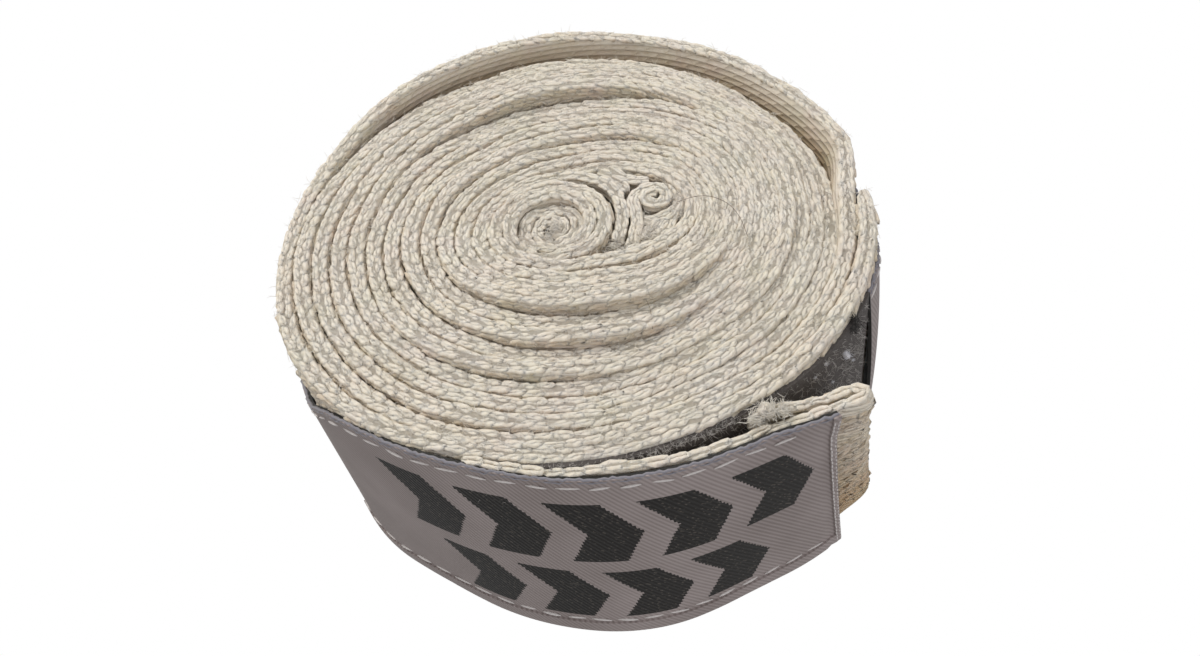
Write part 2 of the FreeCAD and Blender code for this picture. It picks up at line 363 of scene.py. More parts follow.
def guide_curve(name, x, y, z):
    """Poly curve, in metres, that rows of stitches follow."""
    data = bpy.data.curves.new(name, "CURVE")
    data.dimensions = "3D"
    line = data.splines.new("POLY")
    line.points.add(len(x) - 1)
    flat = np.stack([x * MM, y * MM, z * MM, np.ones_like(x)], 1)
    line.points.foreach_set("co", flat.ravel())
    made = bpy.data.objects.new(name, data)
    bpy.context.scene.collection.objects.link(made)
    return made


ROW_INPUTS = (("Guide", "Object"), ("Count", "Int"), ("Pitch", "Float"), ("Start", "Float"),
              ("Side", "Float"), ("Height", "Float"), ("Yaw", "Float"), ("Roll", "Float"),
              ("Wobble", "Float"), ("Seed", "Int"), ("Material", "Material"))


def row_tree():
    """Geometry Nodes: copies of a strand laid in a row, bent along a guide curve."""
    tree = bpy.data.node_groups.new("stitch row", "GeometryNodeTree")
    face = tree.interface
    face.new_socket("Geometry", in_out="INPUT", socket_type="NodeSocketGeometry")
    face.new_socket("Geometry", in_out="OUTPUT", socket_type="NodeSocketGeometry")
    for label, kind in ROW_INPUTS:
        face.new_socket(label, in_out="INPUT", socket_type="NodeSocket" + kind)
    given = add(tree, "NodeGroupInput").outputs

    def xyz(values):
        return add(tree, "ShaderNodeCombineXYZ", values).outputs[0]

    def vector(operation, a, b):
        key = "Scale" if operation == "SCALE" else 1
        return add(tree, "ShaderNodeVectorMath", {0: a, key: b}, operation=operation).outputs[0]

    def scatter(low, high, later):
        seed = add(tree, "ShaderNodeMath", {0: given["Seed"], 1: later}, operation="ADD").outputs[0]
        return add(tree, "FunctionNodeRandomValue", {"Min": low, "Max": high, "Seed": seed},
                   data_type="FLOAT_VECTOR").outputs[0]

    line = add(tree, "GeometryNodeMeshLine", {
        "Count": given["Count"], "Offset": xyz({0: given["Pitch"]}),
        "Start Location": xyz({0: given["Start"], 1: given["Side"], 2: given["Height"]})}, mode="OFFSET")
    spin = scatter((-0.30, -0.06, -0.09), (0.30, 0.06, 0.09), 0.0)
    laid = add(tree, "GeometryNodeInstanceOnPoints", {
        "Points": line.outputs[0], "Instance": given["Geometry"],
        "Rotation": vector("ADD", xyz({0: given["Roll"], 2: given["Yaw"]}), spin),
        "Scale": scatter((0.90, 0.85, 0.85), (1.12, 1.22, 1.15), 5.0)})
    stray = vector("SCALE", scatter((-1.0, -1.0, -1.0), (1.0, 1.0, 1.0), 9.0), given["Wobble"])
    moved = add(tree, "GeometryNodeTranslateInstances", {"Instances": laid.outputs[0], "Translation": stray})
    real = add(tree, "GeometryNodeRealizeInstances", {0: moved.outputs[0]})
    # Along the guide goes the distance, across it the side, and the height is added on top.
    spot = add(tree, "GeometryNodeInputPosition").outputs[0]
    here = add(tree, "ShaderNodeSeparateXYZ", {0: spot}).outputs
    info = add(tree, "GeometryNodeObjectInfo", {"Object": given["Guide"]})
    sample = add(tree, "GeometryNodeSampleCurve", {"Curves": info.outputs["Geometry"], "Length": here[0]},
                 mode="LENGTH", use_all_curves=True).outputs
    across = vector("CROSS_PRODUCT", sample["Tangent"], (0.0, 0.0, 1.0))
    unit = add(tree, "ShaderNodeVectorMath", {0: across}, operation="NORMALIZE").outputs[0]
    base = vector("ADD", sample["Position"], vector("SCALE", unit, here[1]))
    bent = add(tree, "GeometryNodeSetPosition", {"Geometry": real.outputs[0],
                                                 "Position": vector("ADD", base, xyz({2: here[2]}))})
    coat = add(tree, "GeometryNodeSetMaterial", {"Geometry": bent.outputs[0], "Material": given["Material"]})
    add(tree, "NodeGroupOutput", {0: coat.outputs[0]})
    return tree


ROWS = row_tree()


def row(strand, guide, material, count, pitch, start=0.0, side=0.0, height=0.0, yaw=0.0, roll=0.0,
        wobble=0.06, seed=1):
    """One row of strands as a plain mesh; sizes in millimetres, angles in degrees."""
    holder = bpy.data.objects.new("row", strand.copy())
    bpy.context.scene.collection.objects.link(holder)
    mod = holder.modifiers.new("row", "NODES")
    mod.node_group = ROWS
    values = {"Guide": guide, "Count": count, "Pitch": pitch * MM, "Start": start * MM, "Side": side * MM,
              "Height": height * MM, "Yaw": math.radians(yaw), "Roll": math.radians(roll),
              "Wobble": wobble * MM, "Seed": seed, "Material": material}
    for item in ROWS.interface.items_tree:
        if item.name in values:
            mod[item.identifier] = values[item.name]
    graph = bpy.context.evaluated_depsgraph_get()
    made = bpy.data.meshes.new_from_object(holder.evaluated_get(graph), depsgraph=graph)
    bpy.data.objects.remove(holder)
    return made


# ----- materials
def surface(name):
    """New material and its tree, with a principled shader wired to the output."""
    made = bpy.data.materials.new(name)
    made.use_nodes = True
    tree = made.node_tree
    tree.nodes.clear()
    shader = add(tree, "ShaderNodeBsdfPrincipled")
    add(tree, "ShaderNodeOutputMaterial", {0: shader.outputs[0]})
    return made, tree, shader


def math_node(tree):
    """Short form for the arithmetic that patterns need: f(operation, a, b, c)."""
    def f(operation, *values, clamp=False):
        made = add(tree, "ShaderNodeMath", dict(enumerate(values)), operation=operation, use_clamp=clamp)
        return made.outputs[0]
    return f


def position(tree):
    return add(tree, "ShaderNodeTexCoord").outputs["Object"]


def noise(tree, scale, detail, output=0, **more):
    """Noise over the object's own position: output 0 is its value, 1 its colour."""
    inputs = {"Vector": position(tree), "Scale": scale, "Detail": detail, **more}
    return add(tree, "ShaderNodeTexNoise", inputs).outputs[output]


def blend_colours(tree, share, first, second, kind="MIX"):
    made = add(tree, "ShaderNodeMix", {0: share, 6: first, 7: second}, data_type="RGBA", blend_type=kind)
    return made.outputs[2]


def across_and_up(tree):
    """The UV map's two numbers, in millimetres."""
    uv = add(tree, "ShaderNodeUVMap", uv_map="UVMap").outputs[0]
    made = add(tree, "ShaderNodeSeparateXYZ", {0: uv})
    return made.outputs[0], made.outputs[1]


def coat_with(tree, shader, colour, height, strength, distance, **looks):
    """Colour, bump and the remaining inputs of a shader, whose names have _ for a space."""
    bump = add(tree, "ShaderNodeBump", {"Strength": strength, "Distance": distance, "Height": height})
    wire(tree, shader, {"Base Color": colour, "Normal": bump.outputs[0]})
    wire(tree, shader, {key.replace("_", " "): value for key, value in looks.items()})


def knitted_cotton(name, pale, shade_colour, ribs, relief=1.0):
    """Undyed cotton yarn, knitted: dull, slightly hairy, creamy on top and tan where light is shut out.
    ribs adds the lengthwise rows of loops on faces that carry no modelled loops."""
    made, tree, shader = surface(name)
    f = math_node(tree)
    shade = add(tree, "ShaderNodeAttribute", attribute_name="shade").outputs["Fac"]
    broad = noise(tree, 110.0, 2.0)
    fine = noise(tree, 900.0, 3.0, Roughness=0.6)
    hair = noise(tree, 2600.0, 2.0)
    # Painted shade: the shade attribute, shifted by broad and fine noise, mixes the tan shade colour into the pale
    # one.
    lit = f("ADD", shade, f("MULTIPLY_ADD", broad, 0.30, -0.15))
    lit = f("MULTIPLY_ADD", f("SUBTRACT", fine, 0.5), 0.35, lit, clamp=True)
    tint = blend_colours(tree, lit, paint(shade_colour), paint(pale))
    tint = blend_colours(tree, 0.055, tint, noise(tree, 190.0, 1.0, output=1), kind="OVERLAY")
    height = f("MULTIPLY_ADD", hair, 0.35, f("MULTIPLY", fine, 0.9))
    u, v = across_and_up(tree)
    if ribs:
        rows = f("DIVIDE", v, KNIT_ROW)
        across = f("SUBTRACT", f("FRACT", rows), 0.5)
        step = f("MULTIPLY", f("FLOOR", rows), 0.5)
        lean = f("MULTIPLY", across, 0.25)
        along = f("ADD", f("DIVIDE", u, STITCH), f("ADD", step, lean))
        along = f("SUBTRACT", f("FRACT", along), 0.5)
        domes = [f("SQRT", f("MAXIMUM", f("SUBTRACT", 1.0, f("POWER", f("MULTIPLY", part, wide), 2.0)), 0.0))
                 for part, wide in ((across, 2.0), (along, 1.9))]
        loops = f("MULTIPLY", *domes)
        height = f("MULTIPLY_ADD", loops, 1.6, height)
        # Painted shade: the grooves between the knitted loops are mixed towards the tan shade colour.
        tint = blend_colours(tree, f("MULTIPLY_ADD", loops, 0.25, 0.82, clamp=True), paint(shade_colour), tint)
    else:
        ply = f("ADD", f("MULTIPLY", u, 2.0 * math.pi / PLY_TWIST), f("MULTIPLY", v, 2.0))
        height = f("MULTIPLY_ADD", f("SINE", ply), 0.22, height)
    coat_with(tree, shader, tint, height, 0.9, 0.00028 * relief, Roughness=0.92, IOR=1.5,
              Specular_IOR_Level=0.25, Sheen_Weight=0.15, Sheen_Roughness=0.6, Sheen_Tint=paint("#F2E4CE"),
              Subsurface_Weight=0.7, Subsurface_Radius=(1.0, 0.95, 0.88), Subsurface_Scale=0.45 * MM)
    return made


def plain_cloth(name, colour, grain, rough=0.85, sheen=0.2, depth=0.00012, spread=0.25):
    """Cloth or thread of one colour with an uneven nap; grain is the size of the nap in millimetres."""
    made, tree, shader = surface(name)
    nap = noise(tree, 1000.0 / grain, 4.0, Roughness=0.7)
    dark = [c * (1.0 - spread) for c in paint(colour)[:3]] + [1.0]
    light = [min(1.0, c * (1.0 + spread)) for c in paint(colour)[:3]] + [1.0]
    coat_with(tree, shader, blend_colours(tree, nap, dark, light), nap, 0.8, depth, Roughness=rough,
              Sheen_Weight=sheen, Specular_IOR_Level=0.3)
    return made


# Two woven rows of chevrons on the label: (first edge from the strap's end, low, high, count), mm.
CHEVRONS = ((8.5, 25.0, 42.5, 5), (18.5, 5.8, 21.5, 4))
CHEVRON_PITCH, CHEVRON_WIDE, CHEVRON_POINT = 13.6, 8.3, 4.4
THREAD, TWILL, CROSS_TWILL = 0.42, 0.8, 0.95


def woven_label():
    """Satin-faced twill ribbon in mauve grey, with dark chevrons woven in: silky threads on the slant."""
    made, tree, shader = surface("woven twill label")
    f = math_node(tree)
    u, v = across_and_up(tree)
    # The motif's edges step from thread to thread.
    su = f("MULTIPLY", f("ROUND", f("DIVIDE", u, THREAD)), THREAD)
    sv = f("MULTIPLY", f("ROUND", f("DIVIDE", v, THREAD * 0.7)), THREAD * 0.7)
    shapes = []
    for first, low, high, count in CHEVRONS:
        rise = f("DIVIDE", f("SUBTRACT", sv, low), high - low)
        inside = f("MULTIPLY", f("GREATER_THAN", rise, 0.0), f("LESS_THAN", rise, 1.0))
        point = f("MULTIPLY", f("ABSOLUTE", f("SUBTRACT", rise, 0.5)), 2.0 * CHEVRON_POINT)
        along = f("ADD", f("SUBTRACT", su, first), f("SUBTRACT", CHEVRON_POINT, point))
        along = f("DIVIDE", along, CHEVRON_PITCH)
        cell = f("LESS_THAN", f("FRACT", along), CHEVRON_WIDE / CHEVRON_PITCH)
        span = f("MULTIPLY", f("GREATER_THAN", along, 0.0), f("LESS_THAN", along, float(count)))
        shapes.append(f("MULTIPLY", inside, f("MULTIPLY", cell, span)))
    motif = f("MAXIMUM", *shapes)
    slant = f("SUBTRACT", f("MULTIPLY", u, 0.87), f("MULTIPLY", v, 0.50))
    twill = f("SINE", f("MULTIPLY", slant, 2.0 * math.pi / TWILL))
    cross = f("SUBTRACT", u, f("MULTIPLY", v, 1.1))
    cross = f("SINE", f("MULTIPLY", cross, 2.0 * math.pi / CROSS_TWILL))
    broad = noise(tree, 60.0, 3.0)
    fleck = noise(tree, 1500.0, 2.0)
    mixer = f("MULTIPLY_ADD", twill, 0.24, f("MULTIPLY", broad, 0.9), clamp=True)
    ground = blend_colours(tree, mixer, paint("#776C68"), paint("#A89C9A"))
    flecks = f("MULTIPLY", f("GREATER_THAN", fleck, 0.60), f("GREATER_THAN", cross, 0.1))
    dark = blend_colours(tree, f("MULTIPLY", flecks, 0.60), paint("#15110E"), paint("#5E574F"))
    height = f("ADD", f("MULTIPLY", twill, 0.5), f("MULTIPLY_ADD", motif, 0.8, f("MULTIPLY", fleck, 0.8)))
    coat_with(tree, shader, blend_colours(tree, motif, ground, dark), height, 0.55, 0.00010, Roughness=0.6,
              Specular_IOR_Level=0.25, Sheen_Weight=0.05)
    return made


# The second colour of each knitted cotton is its painted shade colour, tan, mixed in where the shade attribute is low.
COTTON_BAND = knitted_cotton("knitted cotton band", "#DAD2C5", "#A08A6C", True)
TAB_COTTON = knitted_cotton("knitted cotton tab", "#E2D8C8", "#B89C79", True, relief=1.8)
COTTON_LOOPS = knitted_cotton("knitted cotton loops", "#DED6C9", "#AE997A", False)
FELT = plain_cloth("brushed loop felt", "#5B5653", 0.45, rough=0.98, sheen=0.05, depth=0.0005, spread=0.75)
FELT_HAIR = plain_cloth("felt hairs", "#B8B3AE", 0.4, rough=0.95, sheen=0.0)
HOOK_TAPE = plain_cloth("black nylon hook tape", "#23211F", 0.6, rough=0.6, sheen=0.1)
LABEL = woven_label()
LABEL_EDGE = plain_cloth("blue grey selvedge", "#85838A", 0.5, rough=0.85)
PALE_THREAD = plain_cloth("pale sewing thread", "#CFC9C6", 0.4, rough=0.6)
DARK_THREAD = plain_cloth("dark sewing thread", "#2B2826", 0.4)
STRAY_HAIR = plain_cloth("stray brown hair", "#6F5B4A", 0.4, rough=0.5)
LINT = plain_cloth("white lint", "#D9D8DC", 0.4, rough=1.0)

# ----- the wound band
def steps_along(turns_from, turns_to, gap):
    """Turn values whose points lie about gap millimetres apart."""
    t = np.linspace(turns_from, turns_to, 40000)
    x, y, _ = band_line(t)
    s = run_along(x, y)
    return np.interp(np.linspace(0.0, s[-1], int(s[-1] / gap)), s, t)


tight = steps_along(-0.35, 2.0, 0.6)
rest = steps_along(2.0, BAND_TURNS, 2.0)
turns = np.concatenate([tight[:-1], rest])
x, y, top = band_line(turns)
length = run_along(x, y)
# The outer face of the outermost turn lies open to the light and gets almost no painted shade.
bare = smooth((turns - (BAND_TURNS - 1.0)) / 0.02) * 0.9
half = band_half(turns)
half[-3:] = [1.05, 0.9, 0.5]
core = ribbon("wound_band", x, y, top, 0.25, half, length, bare=bare,
              place=lambda px, py, pz: lean_in(*spread_out(px, py, pz), turns))
band = put("wound_band", core, COTTON_BAND)

dense = np.linspace(-0.3, BAND_TURNS, 9000)
gx, gy, gtop = band_line(dense)
top_guide = guide_curve("guide top", gx, gy, gtop)
slope = run_along(gx, gy, gtop)
total = slope[-1]


def at_turn(value):
    """Length along the top guide at a number of turns."""
    return float(np.interp(value, dense, slope))


LINK = link(3.8, 0.66, 0.43, 0.34, rings=10, around=5)
SMALL_LINK = link(3.1, 0.58, 0.38, 0.30, rings=10, around=5)
SIDE_LINK = link(3.8, 0.80, 0.41, 0.30, rings=10, around=5)
LINK_PITCH, SMALL_PITCH = 2.75, 2.2


def chain(guide, start, end, small=False, height=-0.27, seed=1, side=0.58):
    """The two columns of loops along a band's edge."""
    strand, pitch = (SMALL_LINK, SMALL_PITCH) if small else (LINK, LINK_PITCH)
    count = max(1, int((end - start) / pitch))
    return [row(strand, guide, COTTON_LOOPS, count, pitch, start + pitch * share, way * side, height,
                yaw=-4.0 * way, wobble=0.12, seed=seed + later)
            for way, share, later in ((-1.0, 0.5, 0), (1.0, 1.0, 40))]


def side_rows(guide, start, end, levels, side, seed=7):
    """Chains of loops along one face of the band, levels in millimetres from its edge."""
    count = max(1, int((end - start) / LINK_PITCH))
    return [row(SIDE_LINK, guide, COTTON_LOOPS, count, LINK_PITCH, start + (n % 2) * LINK_PITCH * 0.5, side,
                level, roll=90.0 if side > 0 else -90.0, wobble=0.13, seed=seed + n)
            for n, level in enumerate(levels)]


UPPER_ROWS, LEDGE_ROWS = (-1.2, -2.7), (-4.2, -5.7)
FACE = 1.12                   # how far the rows lie from the band's centre line
coil_end = at_turn(2.7)
parts = chain(top_guide, 0.0, coil_end, small=True, seed=3)
parts += chain(top_guide, coil_end, total, seed=5, side=0.66)
put("band_top_chain", joined("band_top_chain", parts, 0.06), COTTON_LOOPS)

parts = side_rows(top_guide, coil_end, total, UPPER_ROWS, FACE, seed=11)
put("band_outer_rows", joined("band_outer_rows", parts, 0.06), COTTON_LOOPS)
parts = side_rows(top_guide, coil_end, at_turn(14.86), UPPER_ROWS, -FACE, seed=17)
parts += side_rows(top_guide, at_turn(15.36), total, UPPER_ROWS, -FACE, seed=19)
put("band_inner_rows", joined("band_inner_rows", parts, 0.06), COTTON_LOOPS)

# Lower rows where a turn stands above its neighbour and shows its face.
parts = []
for k in (6, 8, 10):
    parts += side_rows(top_guide, at_turn(k + 0.43), at_turn(k + 0.98), LEDGE_ROWS, FACE, seed=23 + k)
for k, a, b in ((7, 0.05, 0.42), (11, 0.05, 0.45)):
    parts += side_rows(top_guide, at_turn(k + a), at_turn(k + b), LEDGE_ROWS, -FACE, seed=53 + k)
parts += side_rows(top_guide, at_turn(15.42), at_turn(15.72), LEDGE_ROWS + (-7.2, -8.7, -10.2), 1.18, seed=83)
put("band_ledge_rows", joined("band_ledge_rows", parts, 0.06), COTTON_LOOPS)

low_guide = guide_curve("guide low", gx, gy, np.full_like(gx, 0.55))
parts = [row(LINK, low_guide, COTTON_LOOPS, int(run_along(gx, gy)[-1] / LINK_PITCH), LINK_PITCH, 2.0,
             roll=180.0, wobble=0.03, seed=71)]
put("band_bottom_chain", joined("band_bottom_chain", parts), COTTON_LOOPS)

# ----- felt on the outermost turn
def slab(name, place, t_values, z_values, inner, outer, uv_of):
    """Closed layer of cloth. place(t, z, off) gives points; inner and outer are offsets outward."""
    nt, nz = len(t_values), len(z_values)
    tt, zz = np.meshgrid(t_values, z_values, indexing="ij")
    front = np.stack(place(tt, zz, np.full_like(tt, 1.0) * outer), -1)
    back = np.stack(place(tt, zz, np.full_like(tt, 1.0) * inner), -1)
    points = np.concatenate([front.reshape(-1, 3), back.reshape(-1, 3)])
    uv = np.stack(uv_of(tt, zz), -1).reshape(-1, 2)
    far = nt * nz
    faces = []
    for i in range(nt - 1):
        for k in range(nz - 1):
            a, b, c, d = i * nz + k, (i + 1) * nz + k, (i + 1) * nz + k + 1, i * nz + k + 1
            faces.append([a, b, c, d])
            faces.append([far + d, far + c, far + b, far + a])
    for i in range(nt - 1):
        a, b = i * nz, (i + 1) * nz
        faces.append([far + a, far + b, b, a])
        a, b = i * nz + nz - 1, (i + 1) * nz + nz - 1
        faces.append([a, b, far + b, far + a])
    for k in range(nz - 1):
        faces.append([k, k + 1, far + k + 1, far + k])
        a = (nt - 1) * nz
        faces.append([far + a + k, far + a + k + 1, a + k + 1, a + k])
    made = mesh_from(name, points, faces, np.concatenate([uv, uv]))
    made.set_sharp_from_angle(angle=math.radians(50.0))
    return made


def last_lap(deg):
    """Turns at a direction on the outermost turn."""
    return math.floor(BAND_TURNS) + deg / 360.0


def on_band(t, z, off):
    """Points on the outermost turn's outer face; t in turns."""
    flat = t.ravel()
    x0, y0, _ = band_line(flat - 1e-4)
    x1, y1, _ = band_line(flat + 1e-4)
    dx, dy = x1 - x0, y1 - y0
    size = np.hypot(dx, dy)
    px = (x0 + x1) / 2.0 + dy / size * (band_half(15.5) + off.ravel())
    py = (y0 + y1) / 2.0 - dx / size * (band_half(15.5) + off.ravel())
    return spread_out(px.reshape(t.shape), py.reshape(t.shape), z)


FELT_FROM, FELT_TO = 245.5, 326.0
felt_t = np.linspace(last_lap(FELT_FROM), last_lap(FELT_TO), 60)
felt_z = np.concatenate([[1.4, 1.7], np.linspace(3.0, 47.0, 14), [48.3, 48.6]])
felt = slab("loop_felt", on_band, felt_t, felt_z, -0.1, 0.55, lambda t, z: (t * 300.0, z))
put("loop_felt", felt, FELT)

# ----- the strap's path
STRAP_LOW, STRAP_HIGH = 0.9, 48.9
TAPE, CLOTH = 0.5, 0.35
E1 = 302.0                    # direction of the strap's free end
# Radius of the strap's outer face: (direction in degrees, millimetres), at its top and at its foot.
TOP_EDGE = ((-40, 51.3), (-20, 51.1), (-5, 50.7), (170, 50.5), (185, 51.2), (200, 52.2), (209, 52.2),
            (217, 51.7), (226, 51.1), (234, 50.8), (245, 50.6), (250, 50.8), (256, 51.1), (261.5, 51.6), (267.5, 52.1),
            (273.4, 52.7), (281.7, 53.8), (290.6, 55.2), (296.5, 56.4), (302, 58.0), (306, 59.0))
LOW_EDGE = ((-40, 54.2), (-23, 53.8), (-10, 52.3), (20, 51.4), (60, 51.1), (135, 51.0), (166, 51.2),
            (190, 52.2), (205, 52.6), (214, 52.4), (226, 51.0), (234, 50.9), (243, 51.7), (256, 52.9),
            (266, 54.0), (276, 54.6), (285, 54.4), (293, 54.6), (301, 56.2), (310, 58.0), (316, 59.2))
# Height of the strap's top edge: it sinks behind the roll, where the cotton stands above it.
TOP_HEIGHT = ((-40, 48.3), (-33, 48.2), (-25, 47.6), (-19, 45.2), (-10, 42.0), (0, 41.0), (20, 42.5),
              (45, 45.0), (80, 46.3), (130, 46.3), (155, 43.5), (175, 38.5), (190, 35.5), (199, 35.0), (204, 36.5),
              (208, 40.0), (212, 43.9), (217, 46.9), (222, 48.1), (230, 48.5), (240, 48.9), (250, 48.8),
              (260, 48.3), (272, 48.3), (283, 49.0), (292, 50.1), (302, 50.4), (310, 50.4))
# How far the strap's foot lies ahead of its top: (direction in degrees, degrees).
LEANS = ((-40, 2.5), (10, 3.0), (120, 8.0), (310, 8.0))


def smooth_table(table, t):
    """Value of a table at t, averaged over 8 degrees."""
    xs, ys = np.array([p[0] for p in table], float), np.array([p[1] for p in table], float)
    total = np.zeros_like(t)
    for shift in (-4.0, -2.0, 0.0, 2.0, 4.0):
        total += np.interp(t + shift, xs, ys)
    return total / 5.0


def strap_base(t, z):
    """Plan of the strap's outer face, before its top edge sinks."""
    share = (STRAP_HIGH - z) / (STRAP_HIGH - STRAP_LOW)
    deg = t + smooth_table(LEANS, t) * share
    r = mix(smooth_table(TOP_EDGE, t), smooth_table(LOW_EDGE, deg), share)
    r = r + 0.9 * smooth((t - 293.0) / 9.0) * smooth((z - 40.0) / 8.9)
    r = r + np.interp(t, [-40.0, -22.0, 0.0], [1.0, 1.0, 0.0]) * 4.0 * share * (1.0 - share)
    r = r - 0.20 * np.exp(-((t - 300.0) / 0.5) ** 2)
    a = np.radians(deg)
    return r * np.cos(a), r * np.sin(a)


def on_strap(t, z, off):
    """Points off the strap's outer face; t is the direction of the top edge in degrees."""
    x0, y0 = strap_base(t - 0.4, z)
    x1, y1 = strap_base(t + 0.4, z)
    dx, dy = x1 - x0, y1 - y0
    size = np.hypot(dx, dy)
    px, py = strap_base(t, z)
    height = z - (STRAP_HIGH - smooth_table(TOP_HEIGHT, t)) * (z - STRAP_LOW) / (STRAP_HIGH - STRAP_LOW)
    return px + dy / size * off, py - dx / size * off, height


fine_t = np.linspace(-40.0, 306.0, 3461)
fx, fy = strap_base(fine_t, np.full_like(fine_t, STRAP_HIGH))
fine_s = run_along(fx, fy)
end_s = float(np.interp(E1, fine_t, fine_s))


def strap_uv(t, z):
    """Millimetres back from the strap's free end, and height."""
    return end_s - np.interp(t, fine_t, fine_s), z


def line_on_strap(name, t0, t1, z, off, count=400):
    """Guide curve along the strap, and its length."""
    t = np.linspace(t0, t1, count)
    px, py, pz = on_strap(t, np.full_like(t, z), np.full_like(t, off))
    return guide_curve(name, px, py, pz), run_along(px, py)[-1]


THREAD_STITCH = leaf(3.2, 0.22, 0.0, 0.05, rings=5, around=6, flat=0.8)
# Directions where one length of strap ends and the next begins.
CUTS = (-33.7, 22.5, 87.5, 152.5, 195.0, E1)
z_cloth = np.concatenate([[STRAP_LOW, STRAP_LOW + 0.2], np.linspace(2.2, 47.2, 16),
                          [48.2, STRAP_HIGH - 0.2, STRAP_HIGH]])


def seam_tube(name, t0, t1, z, off, radius, seed):
    """Wavy selvedge thread along an edge of the strap."""
    count = max(8, int((t1 - t0) * 1.6))
    t = np.linspace(t0, t1, count)
    wob = np.sin(t * 3.7 + seed) * 0.10 + np.sin(t * 8.9 + seed * 2.0) * 0.07
    px, py, pz = on_strap(t, np.full_like(t, z), off + wob)
    pz = pz + np.sin(t * 5.3 + seed) * 0.09
    nx, ny = sideways(px, py)
    rings = []
    for k in range(6):
        a = 2.0 * math.pi * k / 6.0
        rings.append(np.stack([px + nx * radius * math.cos(a), py + ny * radius * math.cos(a),
                               pz + radius * math.sin(a)], 1))
    rings = np.stack(rings, 1)
    uv = np.zeros(rings.shape[:2] + (2,))
    return ring_sweep(name, rings, uv, np.ones(rings.shape[:2]))


HOOK_GAP = 1.9


def hook_grid(name, t0, t1):
    """Small bent hooks on the tape's inner face, laid row by row."""
    hook = leaf(0.9, 0.17, 0.0, 0.22, rings=4, around=4)
    rows = []
    for n, z in enumerate(np.arange(3.0, 47.5, 2.2)):
        guide, size = line_on_strap("guide hook", t0, t1, z, -TAPE - CLOTH - 0.05, 120)
        rows.append(row(hook, guide, HOOK_TAPE, int(size / HOOK_GAP), HOOK_GAP, 0.4 + 0.9 * (n % 2),
                        wobble=0.05, seed=200 + n))
        bpy.data.objects.remove(guide)
    return joined(name, rows)


tape_z = np.concatenate([[1.1], np.linspace(2.2, 47.0, 12), [STRAP_HIGH - 0.1]])
STITCH_LINES = (STRAP_HIGH - 1.9, STRAP_LOW + 3.7)
ROOT_TAPE = 0.14              # the hem under the root is thinner than the hook tape
for k in range(5):
    t0, t1 = CUTS[k], CUTS[k + 1]
    values = np.linspace(t0, t1, int((t1 - t0) * 1.1))
    put("strap_cloth_%d" % k, slab("c", on_strap, values, z_cloth, -CLOTH, 0.0, strap_uv), LABEL)
    inner = -CLOTH - (TAPE if k else ROOT_TAPE)
    put("strap_tape_%d" % k, slab("t", on_strap, values, tape_z, inner, -CLOTH - 0.02, strap_uv), HOOK_TAPE)
    edge = [seam_tube("e", t0, t1, STRAP_HIGH - 0.05, -0.25, 0.24, 1.0),
            seam_tube("e", t0, t1, STRAP_HIGH - 0.5, -0.02, 0.12, 4.0)]
    put("strap_edge_%d" % k, joined("e", edge), LABEL_EDGE)
    rows = []
    for n, z in enumerate(STITCH_LINES):
        guide, size = line_on_strap("guide stitch", t0, t1, z, 0.08)
        rows.append(row(THREAD_STITCH, guide, PALE_THREAD, int(size / STITCH), STITCH, 2.2,
                        wobble=0.07, seed=90 + 5 * k + n))
        bpy.data.objects.remove(guide)
    put("strap_stitches_%d" % k, joined("s", rows), PALE_THREAD)

# Folded hems: one along the bottom of the label, one up its free end.
hem_values = np.linspace(CUTS[4], E1, 100)
low_hem = slab("h", on_strap, hem_values, np.array([0.5, 0.8, 1.8, 2.8, 3.3, 3.6]), -0.1, 0.32, strap_uv)
low_hem_piece = put("label_low_hem", low_hem, LABEL)
end_values = np.linspace(301.0, E1 + 0.1, 6)
end_hem = slab("h", on_strap, end_values, z_cloth, -0.1, 0.30, strap_uv)
put("label_end_hem", end_hem, LABEL)

# Dark binding down the strap's sewn end.
bind = slab("b", on_strap, np.linspace(-33.82, -33.55, 4), z_cloth, -CLOTH - 0.14, 0.03, strap_uv)
put("strap_root_binding", bind, HOOK_TAPE)


def upright(name, t, off, z0, z1, pitch, strand):
    """Stitches that run up the strap at one place."""
    meshes = []
    points = np.empty(len(strand.vertices) * 3)
    strand.vertices.foreach_get("co", points)
    base = points.reshape(-1, 3) / MM
    faces = [list(p.vertices) for p in strand.polygons]
    for n, level in enumerate(np.arange(z0, z1, pitch)):
        zz = level + base[:, 0]
        tt = np.full_like(zz, t + 0.05 * math.sin(n * 2.1)) + base[:, 1] * 1.1
        px, py, pz = on_strap(tt, zz, off + base[:, 2])
        meshes.append(mesh_from("u", np.stack([px, py, pz], 1), faces))
    return joined(name, meshes)


EDGE_STITCH = leaf(1.0, 0.13, 0.0, 0.04, rings=4, around=5)
parts = [upright("u", t, off, 2.0, 47.5, 1.25, EDGE_STITCH) for t, off in ((301.15, 0.30), (301.9, 0.22))]
put("label_end_stitches", joined("label_end_stitches", parts), PALE_THREAD)
put("strap_hooks", hook_grid("strap_hooks", 252.0, 300.0), HOOK_TAPE)

